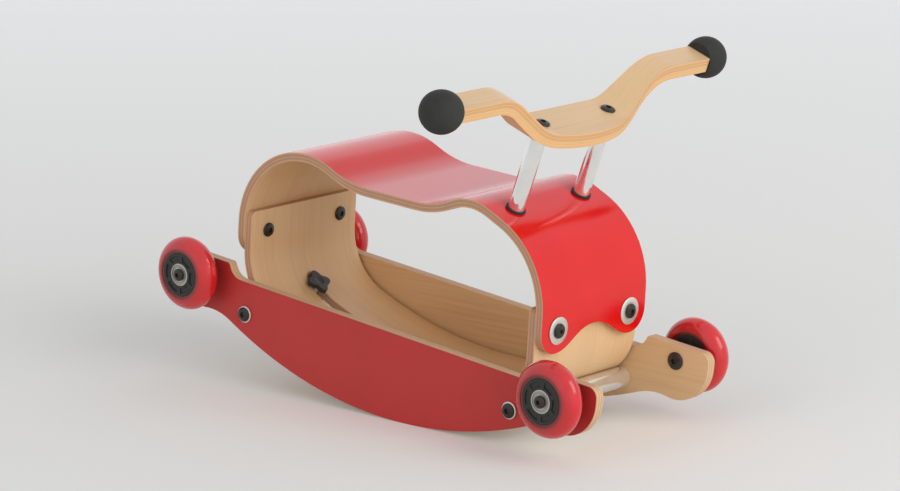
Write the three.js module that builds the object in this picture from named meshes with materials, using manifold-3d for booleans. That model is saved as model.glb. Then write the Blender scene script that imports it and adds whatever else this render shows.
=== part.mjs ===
// A rocking horse that turns into a ride-on: two plywood side panels with rocker edges carry four
// wheels, and a loop of two bent plywood sheets sits between them with a handlebar on top.
//
// Millimetres. +X is forward, +Y is the rider's left, +Z is up. The frame of the side panels has its
// origin midway between the four wheel axles. It rests nose-down on the rocker edges, so the whole
// frame is turned by restPitch and lifted until the rocker edges touch Z = 0.
import * as THREE from 'three';
import { mergeVertices } from 'three/addons/utils/BufferGeometryUtils.js';
import Module from 'manifold-3d';

const wasm = await Module();
wasm.setup();

// ---- Driving dimensions ----------------------------------------------------------------------------

const fitGap = 0.3; // between faces that touch on the real horse
const roomGap = 0.24; // around the seat shell, just less than fitGap so that the uprights stay flat
const boltClearance = 0.3; // radial, between a shank and its hole
const chordError = 0.08; // largest distance from a facet to the curve that it stands for
const boltFacets = 14; // around bolts, nuts and sleeves
const ringFacets = 18; // around washers, bearings and posts
const tyreFacets = 24;

// How the horse rests.
const restPitch = 6.0; // degrees nose-down at which it balances

// Side panels.
const wheelBase = 457;
const panelThickness = 10;
const panelSpacing = 155; // between the inner faces
const rockerRadius = 452;
const rockerDepth = 82.8; // lowest point of the rocker edge below the axles
const rockerFacet = 0.8; // degrees
const endRadius = 37.5; // round end, about the axle
const valleyRadius = 60; // hollow between the rocker edge and the round end
const panelTop = 2; // straight top edge above the axles
const stepTop = 15.5; // raised ends above the axles
const stepX = 194; // where the raised ends begin
const stepRadius = 15;
const stepNose = 3;
const stepRun = 7; // width of the sloping face of the step
const endCornerRadius = 9.5;

// Bent sheets: the tray and the seat shell share a front and a rear upright joint.
const trayThickness = 8.2;
const shellThickness = 8.2;
const trayWidth = 149;
const trayFloor = { x: -2.2, z: -70.5 }; // corners of the inner face, with the radii of the bends
const trayRearBend = { z: -12.4, radius: 60 };
const trayFrontBend = { z: -17.7, radius: 48 };
const trayStraight = 0.5; // shortest straight stretch between the curved floor and a bend
const rearUprightX = -177.9; // inner faces of the tray's uprights, at the height of the axles
const frontUprightX = 172.7;
const uprightLean = 2; // degrees, both uprights lean backwards
const rearUprightTop = 67.5;
const frontUprightTop = 64.5;
const trayCornerRadius = 6;

const shellWidth = 151;
const shellHump = { z: 182.2, radius: 84.2 }; // corners of the shell's outer face, with their radii
const shellDip = { x: -57.3, z: 126.1, radius: 110 };
const shellRise = { x: 47.9, z: 130.3, radius: 94 };
const shellCrest = { x: 89.6, z: 152.7, radius: 56 };
const shellBrow = { z: 118.2, radius: 86 };
const lobeBottom = 21.6; // both ends of the shell are two lobes with an arch between
const lobeRadius = 21;
const lobeInner = { y: 44.9, radius: 34 };
const arch = { z: 48.5, radius: 43.8 };

// Slot in the tray for the clamp, and the clamp.
const slotWidth = 12.5;
const slotFrontX = -62;
const studRadius = 4;
const studDepth = 7; // below the middle of the rear tube
const clampAngle = 33; // degrees, how far the clamp leans forward
const clampWasherRadius = 7;
const clampWasherThickness = 0.8;
const knobFoot = { radius: 7.5, height: 0.9 }; // holds the lobes clear of the bend
const knobHeight = 5.6; // with the foot
const knobRadius = 11; // mean
const knobLobe = 2.3; // how far the lobes rise above it and the hollows fall below
const knobLobes = 4;
const knobTurned = 82; // degrees, where the first lobe points
const knobWall = 2; // over the end of the stud

// Cross tubes, seen from the bends of the tray that rest on them.
const tubeRadius = 10;
const rearTubeAngle = 38.7; // degrees from straight below the middle of the bend
const frontTubeAngle = 42;
const tubeWall = 1.5;
const tubeInsertLength = 24; // the threaded stretch at each end

// Fasteners.
const boltRadius = 3.9; // M8
const boltHeadRadius = 7;
const boltHeadHeight = 2.8;
const tubeWasherRadius = 8.25;
const tubeWasherThickness = 1.6;
const tubeBoltReach = 20; // into the tube
const jointBoltY = 51.1;
const jointBoltZ = 46.6;
const eyeY = 52;
const eyeZ = 42.5;
const eyeWasherRadius = 13.75;
const eyeWasherThickness = 0.9;
const eyeNutHeight = 6.5;
const nutFloor = 1.8; // closed end of an eye nut

// Wheels.
const tyreRadius = 36;
const tyreWidth = 24;
const tyreShoulder = 14; // radial depth of the rounded tread
const tyreSquareness = 1.9; // 2 is an ellipse, more is squarer
const coreRadius = 21.2;
const coreRimInner = 18.4;
const coreHubRadius = 13.4;
const coreBoreRadius = 9; // between the bearings
const coreInset = 0.5; // the core is this much narrower than the tyre on each side
const coreSpokes = 6;
const coreSpokeWidth = 4.4;
const bearingRadius = 11;
const bearingBore = 4;
const bearingWidth = 7;
const axleRadius = 3.7;
const axleHeadRadius = 8.5;
const axleHeadHeight = 3.2;
const axleInset = 1; // the sleeve ends this far inside the wheel
const axleThreadRadius = 2.5; // M5
const axleThreadDepth = 20;
const axleScrewReach = 16;
const axleScrewHeadRadius = 6;
const axleScrewHeadHeight = 3.2;
const spacerLength = 8.7;
const spacerRadius = 6.2;

// Handlebar, on two posts that lean forward.
const postX = 122.3; // where the posts leave the shell
const postY = 47.1;
const postLean = 14.5; // degrees
const postRadius = 8;
const postLength = 75; // from the shell to the underside of the handlebar
const postHoleDepth = 22;
const postBoltReach = 18;
const ringRadius = 10.2;
const ringHeight = 1.8;
const saddleRadius = 8.5;
const saddleHeight = 3;
const barThickness = 14;
const barFlatHalf = 56.2; // corners of the bar's front view
const barRise = 37.4;
const barShoulderY = 105.3;
const barInnerRadius = 36;
const barOuterRadius = 56;
const barBack = -21;
const barFront = 6;
const barNose = 39.2; // where the front flanks would meet
const barFlankY = 92;
const barNoseRadius = 146;
const barFlankRadius = 60;
const gripSpan = 421.2; // over both grips
const gripRadius = 20;
const gripCollar = 1.5; // wall around the bar
const barEndInset = 4; // the bar ends this far short of the grip's centre
const collarLength = 0.5; // in front of the ball

// ---- Colours ---------------------------------------------------------------------------------------

function material(color, roughness, metalness = 0) {
  return () => new THREE.MeshStandardMaterial({ color, roughness, metalness });
}
const birchPly = material(0xd9ab73, 0.55);
const redPly = material(0xb5322f, 0.45);
const redLacquer = material(0xe03234, 0.25);
const redTyre = material(0xc81f2b, 0.15);
const blackPlastic = material(0x1c1d1e, 0.45);
const blackSteel = material(0x202124, 0.35, 0.6);
const blackRubber = material(0x2a2b29, 0.8);
const chrome = material(0xd8d8d6, 0.12, 1);
const silver = material(0xc4c4c0, 0.3, 0.9);

// ---- Helpers ---------------------------------------------------------------------------------------

const radians = THREE.MathUtils.degToRad;

function facetsFor(radius, angle) {
  const step = 2 * Math.acos(1 - Math.min(1, chordError / radius));
  return Math.max(2, Math.ceil(Math.abs(angle) / step));
}

// Points of an arc in the plane, from one angle to another, both in degrees.
function arc(center, radius, from, to, facets = facetsFor(radius, radians(to - from))) {
  return Array.from({ length: facets + 1 }, (_, i) => {
    const angle = radians(from + ((to - from) * i) / facets);
    return new THREE.Vector2(center.x + radius * Math.cos(angle), center.y + radius * Math.sin(angle));
  });
}

// A line through corners [x, y, radius], with each inner corner rounded. Every sample holds a point
// and the normal on the left of the direction of travel.
function roundedLine(corners) {
  const points = corners.map(([x, y]) => new THREE.Vector2(x, y));
  const samples = [];
  const add = (point, heading) => {
    samples.push({ point, normal: new THREE.Vector2(-Math.sin(heading), Math.cos(heading)) });
  };
  const headingTo = (i) => points[i + 1].clone().sub(points[i]).angle();
  const turnAt = (i) => {
    const turn = headingTo(i) - headingTo(i - 1);
    return Math.atan2(Math.sin(turn), Math.cos(turn));
  };
  // Length that the rounding of each corner takes from both of its lines.
  const lengths = corners.map(([, , radius], i) => (radius ? radius * Math.tan(Math.abs(turnAt(i)) / 2) : 0));
  // Corners that are too close for their radii share the line between them.
  const shareOf = (i) => Math.min(1, points[i].distanceTo(points[i + 1]) / (lengths[i] + lengths[i + 1]));
  add(points[0], headingTo(0));
  for (let i = 1; i < points.length - 1; i += 1) {
    const heading = headingTo(i - 1);
    const turn = turnAt(i);
    const radius = corners[i][2] * Math.min(shareOf(i - 1), shareOf(i));
    const side = Math.sign(turn);
    const tangent = radius * Math.tan(Math.abs(turn) / 2);
    const forward = new THREE.Vector2(Math.cos(heading), Math.sin(heading));
    const left = new THREE.Vector2(-forward.y, forward.x);
    const start = points[i].clone().addScaledVector(forward, -tangent);
    const center = start.clone().addScaledVector(left, side * radius);
    const facets = facetsFor(radius, turn);
    for (let k = 0; k <= facets; k += 1) {
      const angle = heading + (turn * k) / facets;
      const out = new THREE.Vector2(Math.sin(angle), -Math.cos(angle)).multiplyScalar(side * radius);
      add(center.clone().add(out), angle);
    }
  }
  add(points.at(-1), headingTo(points.length - 2));
  return samples;
}

function offsetLine(samples, distance) {
  return samples.map(({ point, normal }) => point.clone().addScaledVector(normal, distance));
}

// The area between two offsets of one line.
function bandShape(samples, near, far) {
  return new THREE.Shape(cleaned([...offsetLine(samples, near), ...offsetLine(samples, far).reverse()]));
}

// A closed outline without repeated points or points in the middle of a straight run.
function cleaned(points) {
  const apart = points.filter((point, i) => point.distanceTo(points.at(i - 1)) > 0.01);
  return apart.filter((point, i) => {
    const back = point.clone().sub(apart.at(i - 1)).normalize();
    const on = apart[(i + 1) % apart.length].clone().sub(point).normalize();
    return Math.abs(back.cross(on)) > 1e-5;
  });
}

function circlePath(x, y, radius) {
  return new THREE.Path(arc({ x, y }, radius, 0, 360).slice(0, -1));
}

// Extrusions of a side view (x, z) across Y, of a front view (y, z) along X and of a plan (x, y) up Z.
function acrossY(shape, from, to) {
  const geometry = new THREE.ExtrudeGeometry(shape, { depth: to - from, bevelEnabled: false });
  return geometry.rotateX(Math.PI / 2).translate(0, to, 0);
}
function alongX(shape, from, to) {
  const geometry = new THREE.ExtrudeGeometry(shape, { depth: to - from, bevelEnabled: false });
  return geometry.rotateX(Math.PI / 2).rotateZ(Math.PI / 2).translate(from, 0, 0);
}
function upZ(shape, from, to) {
  const geometry = new THREE.ExtrudeGeometry(shape, { depth: to - from, bevelEnabled: false });
  return geometry.translate(0, 0, from);
}

// Revolves [radius, height] corners about Z; profiles run from bottom to top.
function turned(profile, facets) {
  const points = profile.map(([radius, height]) => new THREE.Vector2(radius, height));
  return new THREE.LatheGeometry(points, facets).rotateX(Math.PI / 2);
}

// A closed solid for joining and cutting, optionally moved first.
function solid(geometry, matrix = new THREE.Matrix4()) {
  const bare = new THREE.BufferGeometry();
  bare.setAttribute('position', geometry.getAttribute('position').clone());
  bare.setIndex(geometry.index);
  const merged = mergeVertices(bare.applyMatrix4(matrix), 1e-4);
  const triangles = [];
  for (let i = 0; i < merged.index.count; i += 3) {
    const [a, b, c] = [0, 1, 2].map((k) => merged.index.getX(i + k));
    if (a !== b && b !== c && c !== a) triangles.push(a, b, c);
  }
  const vertProperties = new Float32Array(merged.getAttribute('position').array);
  const triVerts = new Uint32Array(triangles);
  return new wasm.Manifold(new wasm.Mesh({ numProp: 3, vertProperties, triVerts }));
}

function geometryOf(body) {
  const { vertProperties, triVerts } = body.getMesh();
  const geometry = new THREE.BufferGeometry();
  geometry.setAttribute('position', new THREE.Float32BufferAttribute(vertProperties, 3));
  geometry.setIndex(new THREE.Uint32BufferAttribute(triVerts, 1));
  geometry.computeVertexNormals();
  return geometry;
}

function piece(name, geometry, makeMaterial) {
  const mesh = new THREE.Mesh(geometry, makeMaterial());
  mesh.name = name;
  return mesh;
}

// A frame with its Z axis along `direction`, at `origin`.
function axisFrame(origin, direction) {
  const up = new THREE.Vector3(0, 0, 1);
  const turn = new THREE.Quaternion().setFromUnitVectors(up, direction.clone().normalize());
  return new THREE.Matrix4().compose(origin, turn, new THREE.Vector3(1, 1, 1));
}

function place(object, matrix) {
  matrix.decompose(object.position, object.quaternion, object.scale);
  return object;
}

function rod(radius, from, to, facets = boltFacets) {
  return turned([[0, from], [radius, from], [radius, to], [0, to]], facets);
}

// A domed head with a socket, standing on Z = 0, as [radius, height] corners.
function domedHead(headRadius, headHeight) {
  const rimHeight = 0.3 * headHeight;
  const shoulder = { radius: 0.84 * headRadius, height: 0.78 * headHeight };
  const socket = { top: 0.42 * headRadius, bottom: 0.36 * headRadius, floor: 0.45 * headHeight };
  return [
    [headRadius, 0],
    [headRadius, rimHeight],
    [shoulder.radius, shoulder.height],
    [socket.top, headHeight],
    [socket.bottom, socket.floor],
    [0, socket.floor],
  ];
}

// ---- Lines of the two sheets -----------------------------------------------------------------------

const lean = radians(uprightLean);
const uprightNormal = new THREE.Vector3(Math.cos(lean), 0, Math.sin(lean)); // points forward

// X of a plane parallel to an upright's inner face, `out` millimetres in front of it, at height z.
function uprightX(faceX, z, out = 0) {
  return faceX - z * Math.tan(lean) + out / Math.cos(lean);
}

// Where the tray's inner face would have a corner without its bend, and half the angle between its arms.
function bendCorner(upright, bend) {
  const corner = new THREE.Vector2(uprightX(upright, bend.z), bend.z);
  const floor = new THREE.Vector2(trayFloor.x, trayFloor.z).sub(corner);
  const rise = new THREE.Vector2(-Math.sin(lean), Math.cos(lean));
  const half = Math.acos(floor.clone().normalize().dot(rise)) / 2;
  return { corner, floor, rise, half };
}

// The tray's floor is one arc that fills the room between the two bends.
function floorRadius() {
  const rear = bendCorner(rearUprightX, trayRearBend);
  const front = bendCorner(frontUprightX, trayFrontBend);
  const room = (arm, bend) => arm.floor.length() - bend.radius / Math.tan(arm.half) - trayStraight;
  const turn = Math.abs(front.floor.clone().negate().angle() - rear.floor.angle());
  const halfTurn = Math.min(turn, 2 * Math.PI - turn) / 2;
  return Math.min(room(rear, trayRearBend), room(front, trayFrontBend)) / Math.tan(halfTurn);
}

const endOverrun = 6; // the sheets are drawn this far past their ends and then cut
const overrun = 1; // cutting tools reach this far past what they cut
const solidOverlap = 0.1; // solids that are joined into one reach this far into each other
const trayTop = Math.max(rearUprightTop, frontUprightTop) + endOverrun;
const trayInner = roundedLine([
  [uprightX(rearUprightX, trayTop), trayTop],
  [uprightX(rearUprightX, trayRearBend.z), trayRearBend.z, trayRearBend.radius],
  [trayFloor.x, trayFloor.z, floorRadius()],
  [uprightX(frontUprightX, trayFrontBend.z), trayFrontBend.z, trayFrontBend.radius],
  [uprightX(frontUprightX, trayTop), trayTop],
]);

const jointStack = trayThickness + fitGap + shellThickness;
const shellBottom = lobeBottom - endOverrun;
const shellOuter = roundedLine([
  [uprightX(rearUprightX, shellBottom, -jointStack), shellBottom],
  [uprightX(rearUprightX, shellHump.z, -jointStack), shellHump.z, shellHump.radius],
  [shellDip.x, shellDip.z, shellDip.radius],
  [shellRise.x, shellRise.z, shellRise.radius],
  [shellCrest.x, shellCrest.z, shellCrest.radius],
  [uprightX(frontUprightX, shellBrow.z, jointStack), shellBrow.z, shellBrow.radius],
  [uprightX(frontUprightX, shellBottom, jointStack), shellBottom],
]);

// Frame of the posts: on the shell's outer face, with Z along the posts.
const steeringFrame = axisFrame(
  new THREE.Vector3(postX, 0, shellHeight(postX)),
  new THREE.Vector3(Math.sin(radians(postLean)), 0, Math.cos(radians(postLean))),
);

// Everything inside the shell's outer face grown by `distance`.
function insideShell(distance, width = shellWidth) {
  return solid(acrossY(new THREE.Shape(cleaned(offsetLine(shellOuter, distance))), -width / 2, width / 2));
}

// Height of the shell's outer face above x.
function shellHeight(x) {
  const line = shellOuter.map(({ point }) => point);
  const next = line.findIndex((point, i) => i > 0 && line[i - 1].x <= x && point.x > x);
  const [a, b] = [line[next - 1], line[next]];
  return a.y + ((b.y - a.y) * (x - a.x)) / (b.x - a.x);
}

// The middle of a bend of the tray.
function bendCenter(upright, bend) {
  const { corner, floor, rise, half } = bendCorner(upright, bend);
  const bisector = floor.normalize().add(rise).normalize();
  return corner.addScaledVector(bisector, bend.radius / Math.sin(half));
}

// The middle of a cross tube that rests in a bend, `angle` degrees from straight below its middle.
function bendTube(upright, bend, angle) {
  const reach = bend.radius + trayThickness + fitGap + tubeRadius;
  const across = Math.sign(upright) * Math.sin(radians(angle));
  const toTube = new THREE.Vector2(across, -Math.cos(radians(angle)));
  return bendCenter(upright, bend).addScaledVector(toTube, reach);
}
const tubeAt = {
  front: bendTube(frontUprightX, trayFrontBend, frontTubeAngle),
  rear: bendTube(rearUprightX, trayRearBend, rearTubeAngle),
};

// The clamp's axis runs from the middle of the rear tube up through the tray.
const clampLine = new THREE.Vector2(Math.sin(radians(clampAngle)), Math.cos(radians(clampAngle)));
const clampDirection = new THREE.Vector3(clampLine.x, 0, clampLine.y);
const clampFrame = axisFrame(new THREE.Vector3(tubeAt.rear.x, 0, tubeAt.rear.y), clampDirection);

// How far along that axis the flat washer lies when its rear edge touches the hollow of the bend.
function washerSeat() {
  const rearEdge = new THREE.Vector2(-clampLine.y, clampLine.x).multiplyScalar(clampWasherRadius);
  const fromMiddle = tubeAt.rear.clone().add(rearEdge).sub(bendCenter(rearUprightX, trayRearBend));
  const along = fromMiddle.dot(clampLine);
  const aside = fromMiddle.lengthSq() - along ** 2;
  return -along - Math.sqrt(trayRearBend.radius ** 2 - aside);
}
const clampSeat = washerSeat();

// ---- Side panels and cross tubes -------------------------------------------------------------------

const axleX = wheelBase / 2;
const holeRadius = boltRadius + boltClearance;
const axleHoleRadius = axleRadius + boltClearance;

// Outline of one end of a panel, from the lowest point of the rocker edge round to the top edge.
function panelHalfOutline() {
  const rocker = { x: 0, y: rockerRadius - rockerDepth };
  const reach = rockerRadius + valleyRadius;
  const endReach = endRadius + valleyRadius;
  // The hollow's middle is at `reach` from the rocker's middle and at `endReach` from the axle.
  const span = Math.hypot(axleX, rocker.y);
  const along = (reach ** 2 - endReach ** 2 + span ** 2) / (2 * span);
  const across = Math.sqrt(reach ** 2 - along ** 2);
  const u = { x: axleX / span, y: -rocker.y / span };
  const hollow = { x: u.x * along - -u.y * across, y: rocker.y + u.y * along - u.x * across };
  const fromRocker = THREE.MathUtils.radToDeg(Math.atan2(hollow.y - rocker.y, hollow.x));
  const toAxle = THREE.MathUtils.radToDeg(Math.atan2(-hollow.y, axleX - hollow.x));
  const corner = { x: axleX + endRadius - endCornerRadius, y: stepTop - endCornerRadius };
  const step = roundedLine([
    [corner.x, stepTop],
    [stepX, stepTop, stepNose],
    [stepX - stepRun, panelTop, stepRadius],
    [0, panelTop],
  ]);
  return [
    ...arc(rocker, rockerRadius, -90, fromRocker, Math.ceil((fromRocker + 90) / rockerFacet)),
    ...arc(hollow, valleyRadius, fromRocker + 180, toAxle).slice(1),
    ...arc({ x: axleX, y: 0 }, endRadius, toAxle - 180, 0).slice(1),
    ...arc(corner, endCornerRadius, 0, 90),
    ...step.slice(1, -1).map(({ point }) => point),
  ];
}

function panelShape() {
  const half = panelHalfOutline();
  const mirrored = half.slice(1).reverse().map(({ x, y }) => new THREE.Vector2(-x, y));
  const shape = new THREE.Shape(cleaned([...half, ...mirrored]));
  for (const tube of Object.values(tubeAt)) shape.holes.push(circlePath(tube.x, tube.y, holeRadius));
  for (const side of [-1, 1]) shape.holes.push(circlePath(side * axleX, 0, axleHoleRadius));
  return shape;
}

const panelInner = panelSpacing / 2;
const panelOuter = panelInner + panelThickness;

function sidePanels() {
  return [
    piece('side_panel_left', acrossY(panelShape(), panelInner, panelOuter), redPly),
    piece('side_panel_right', acrossY(panelShape(), -panelOuter, -panelInner), redPly),
  ];
}

// A hollow tube whose ends are closed down to a threaded hole.
function crossTube(end) {
  const half = panelInner - fitGap;
  const insert = half - tubeInsertLength;
  const inside = tubeRadius - tubeWall;
  const profile = [
    [inside, -insert],
    [holeRadius, -insert],
    [holeRadius, -half],
    [tubeRadius, -half],
    [tubeRadius, half],
    [holeRadius, half],
    [holeRadius, insert],
    [inside, insert],
    [inside, -insert],
  ];
  const tube = turned(profile, ringFacets).rotateX(Math.PI / 2);
  const { x, y } = tubeAt[end];
  let body = solid(tube, new THREE.Matrix4().makeTranslation(x, 0, y));
  if (end === 'rear') {
    body = body.subtract(solid(rod(studRadius + boltClearance, 0, tubeRadius + fitGap), clampFrame));
  }
  return piece(`cross_tube_${end}`, geometryOf(body), chrome);
}

// Button-head bolt with its washer, screwed into the end of a cross tube. Local +Z points outwards.
function tubeBolt(name) {
  const washerTop = fitGap + tubeWasherThickness;
  const profile = [
    [0, -panelThickness - tubeBoltReach],
    [boltRadius, -panelThickness - tubeBoltReach],
    [boltRadius, fitGap],
    [tubeWasherRadius, fitGap],
    [tubeWasherRadius, washerTop],
    ...domedHead(boltHeadRadius, boltHeadHeight).map(([r, z]) => [r, z + washerTop]),
  ];
  return piece(name, turned(profile, boltFacets), blackSteel);
}

const sides = { left: 1, right: -1 };
const ends = { front: 1, rear: -1 };

function outward(side, x, z, y = panelOuter) {
  return axisFrame(new THREE.Vector3(x, sides[side] * y, z), new THREE.Vector3(0, sides[side], 0));
}

// ---- Tray and seat shell ---------------------------------------------------------------------------

// Frames on the inner face of an upright, with Z pointing into the loop.
function jointFrame(end, side, y, z) {
  const upright = end === 'front' ? frontUprightX : rearUprightX;
  const inward = uprightNormal.clone().multiplyScalar(-ends[end]);
  return axisFrame(new THREE.Vector3(uprightX(upright, z), sides[side] * y, z), inward);
}
const jointPlaces = { front: { y: eyeY, z: eyeZ }, rear: { y: jointBoltY, z: jointBoltZ } };

function jointHoles() {
  return Object.entries(jointPlaces).flatMap(([end, { y, z }]) =>
    Object.keys(sides).map((side) =>
      solid(rod(holeRadius, -jointStack - endOverrun, endOverrun), jointFrame(end, side, y, z)),
    ),
  );
}

function withoutAll(body, cutters) {
  return cutters.reduce((rest, cutter) => rest.subtract(cutter), body);
}

function tray() {
  const half = trayWidth / 2;
  let body = solid(acrossY(bandShape(trayInner, 0, -trayThickness), -half, half));
  // Uprights cut to their heights, with rounded corners.
  const tops = { front: frontUprightTop, rear: rearUprightTop };
  const below = trayFloor.z - trayThickness;
  const halves = Object.entries(tops).map(([end, top]) => {
    const outline = roundedLine([
      [0, below],
      [half, below, 0],
      [half, top, trayCornerRadius],
      [-half, top, trayCornerRadius],
      [-half, below, 0],
      [0, below],
    ]).map(({ point }) => point);
    const from = Math.min(0, ends[end] * wheelBase) - overrun;
    const to = from + wheelBase + 2 * overrun;
    return solid(alongX(new THREE.Shape(cleaned(outline.slice(1, -1))), from, to));
  });
  body = body.intersect(halves[0].add(halves[1]));
  // Room for the shell, which curls over the ends of the uprights.
  const roomDepth = shellThickness + roomGap;
  const roomShape = bandShape(shellOuter, -roomDepth, shellThickness);
  const room = solid(acrossY(roomShape, -half - overrun, half + overrun));
  const slotRearX = tubeAt.rear.x + (tubeRadius + fitGap) * clampLine.x;
  const end = slotWidth / 2;
  const slot = new THREE.Shape([
    ...arc({ x: slotFrontX - end, y: 0 }, end, -90, 90),
    ...arc({ x: slotRearX, y: 0 }, end, 90, 270),
  ]);
  body = withoutAll(body, [room, solid(upZ(slot, below, 0)), ...jointHoles()]);
  return piece('tray', geometryOf(body), birchPly);
}

// The shell's front view: straight sides, and the lobed end.
function shellFront() {
  const half = shellWidth / 2;
  const over = shellHump.z;
  const outline = roundedLine([
    [-half, over],
    [-half, lobeBottom, lobeRadius],
    [-lobeInner.y, lobeBottom, lobeInner.radius],
    [0, arch.z, arch.radius],
    [lobeInner.y, lobeBottom, lobeInner.radius],
    [half, lobeBottom, lobeRadius],
    [half, over],
  ]);
  return new THREE.Shape(cleaned(outline.map(({ point }) => point)));
}

function seatShell() {
  const half = shellWidth / 2;
  const sheet = solid(acrossY(bandShape(shellOuter, 0, -shellThickness), -half, half));
  const front = solid(alongX(shellFront(), -wheelBase / 2, wheelBase / 2));
  const postHoles = Object.values(sides).map((side) => {
    const frame = steeringFrame.clone().multiply(new THREE.Matrix4().makeTranslation(0, side * postY, 0));
    return solid(rod(holeRadius, -3 * shellThickness, shellThickness), frame);
  });
  const body = withoutAll(sheet.intersect(front), [...jointHoles(), ...postHoles]);
  return piece('seat_shell', geometryOf(body), redLacquer);
}

// Bolt through tray and shell at the rear, with its barrel nut. Z = 0 is the tray's inner face.
function rearJointBolt(side) {
  const head = domedHead(boltHeadRadius, boltHeadHeight).map(([r, z]) => [r, z + fitGap]);
  const nut = head.map(([r, z]) => [r, -jointStack - z]).reverse();
  const bolt = piece(`rear_joint_bolt_${side}`, turned([...nut, [boltRadius, -jointStack - fitGap],
    [boltRadius, fitGap], ...head], boltFacets), blackSteel);
  return place(bolt, jointFrame('rear', side, jointBoltY, jointBoltZ));
}

// The eyes: a bolt and a wide washer outside, a blind nut inside. Z = 0 is the tray's inner face.
function eye(side) {
  const washerFace = -jointStack - fitGap;
  const headFace = washerFace - eyeWasherThickness - fitGap;
  const nutTop = fitGap + eyeNutHeight;
  const head = domedHead(boltHeadRadius, boltHeadHeight).map(([r, z]) => [r, headFace - z]).reverse();
  const boltEnd = nutTop - nutFloor - fitGap;
  const bolt = [...head, [boltRadius, headFace], [boltRadius, boltEnd], [0, boltEnd]];
  const washer = [
    [holeRadius, washerFace - eyeWasherThickness],
    [eyeWasherRadius, washerFace - eyeWasherThickness],
    [eyeWasherRadius, washerFace],
    [holeRadius, washerFace],
    [holeRadius, washerFace - eyeWasherThickness],
  ];
  const nut = [
    [0, nutTop - nutFloor],
    [holeRadius, nutTop - nutFloor],
    [holeRadius, fitGap],
    [boltHeadRadius, fitGap],
    [boltHeadRadius, nutTop - nutFloor],
    [boltHeadRadius - nutFloor, nutTop],
    [0, nutTop],
  ];
  return [
    piece(`eye_bolt_${side}`, turned(bolt, boltFacets), blackSteel),
    piece(`eye_washer_${side}`, turned(washer, ringFacets), silver),
    piece(`eye_nut_${side}`, turned(nut, boltFacets), blackSteel),
  ].map((mesh) => place(mesh, jointFrame('front', side, eyeY, eyeZ)));
}

// ---- Clamp -----------------------------------------------------------------------------------------

function clamp() {
  const washerFrom = clampSeat + fitGap;
  const knobFrom = washerFrom + clampWasherThickness + fitGap;
  const washer = [
    [studRadius + boltClearance, washerFrom],
    [clampWasherRadius, washerFrom],
    [clampWasherRadius, washerFrom + clampWasherThickness],
    [studRadius + boltClearance, washerFrom + clampWasherThickness],
    [studRadius + boltClearance, washerFrom],
  ];
  const samples = 10 * knobLobes;
  const outline = Array.from({ length: samples }, (_, i) => {
    const angle = (2 * Math.PI * i) / samples;
    const radius = knobRadius + knobLobe * Math.cos(knobLobes * (angle - radians(knobTurned)));
    return new THREE.Vector2(radius * Math.cos(angle), radius * Math.sin(angle));
  });
  const knobTop = knobFrom + knobHeight;
  const block = solid(upZ(new THREE.Shape(outline), knobFrom + knobFoot.height, knobTop));
  const foot = solid(rod(knobFoot.radius, knobFrom, knobTop - knobWall, ringFacets));
  const bore = solid(rod(studRadius + boltClearance, knobFrom - knobWall, knobTop - knobWall));
  const studEnd = knobTop - knobWall - fitGap;
  return [
    piece('clamp_stud', rod(studRadius, -studDepth, studEnd), silver),
    piece('clamp_washer', turned(washer, ringFacets), silver),
    piece('star_knob', geometryOf(block.add(foot).subtract(bore)), blackPlastic),
  ].map((mesh) => place(mesh, clampFrame));
}

// ---- Wheels ----------------------------------------------------------------------------------------

// A wheel and its axle, with local +Z outwards and Z = 0 at the panel's outer face.
const wheelFrom = spacerLength;
const wheelTo = wheelFrom + tyreWidth;

function ringProfile(inner, outer, from, to) {
  return [[inner, from], [outer, from], [outer, to], [inner, to], [inner, from]];
}

function tyreProfile() {
  const bore = coreRadius + fitGap;
  const middle = (wheelFrom + wheelTo) / 2;
  const half = tyreWidth / 2;
  const steps = 8;
  const tread = Array.from({ length: steps + 1 }, (_, i) => {
    const angle = Math.PI * (i / steps - 0.5);
    const curve = (value) => Math.sign(value) * Math.abs(value) ** (2 / tyreSquareness);
    const depth = tyreShoulder * (1 - curve(Math.cos(angle)));
    return [tyreRadius - depth, middle + half * curve(Math.sin(angle))];
  });
  return [[bore, wheelFrom], ...tread, [bore, wheelTo], [bore, wheelFrom]];
}

function wheelCore() {
  const shape = new THREE.Shape(arc({ x: 0, y: 0 }, coreRadius, 0, 360).slice(0, -1));
  shape.holes.push(circlePath(0, 0, coreBoreRadius));
  for (let i = 0; i < coreSpokes; i += 1) {
    const middle = (360 * i) / coreSpokes;
    const halfOpening = (radius) => {
      const halfSpoke = Math.asin(coreSpokeWidth / 2 / radius);
      return 180 / coreSpokes - THREE.MathUtils.radToDeg(halfSpoke);
    };
    const wide = halfOpening(coreRimInner);
    const narrow = halfOpening(coreHubRadius);
    const outer = arc({ x: 0, y: 0 }, coreRimInner, middle - wide, middle + wide);
    const inner = arc({ x: 0, y: 0 }, coreHubRadius, middle + narrow, middle - narrow);
    shape.holes.push(new THREE.Path([...outer, ...inner]));
  }
  const body = solid(upZ(shape, wheelFrom + coreInset, wheelTo - coreInset));
  const seatRadius = bearingRadius + fitGap;
  const seatDepth = bearingWidth + fitGap;
  const seats = [
    rod(seatRadius, wheelFrom - overrun, wheelFrom + seatDepth, ringFacets),
    rod(seatRadius, wheelTo - seatDepth, wheelTo + overrun, ringFacets),
  ];
  return geometryOf(withoutAll(body, seats.map((seat) => solid(seat))));
}

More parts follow.
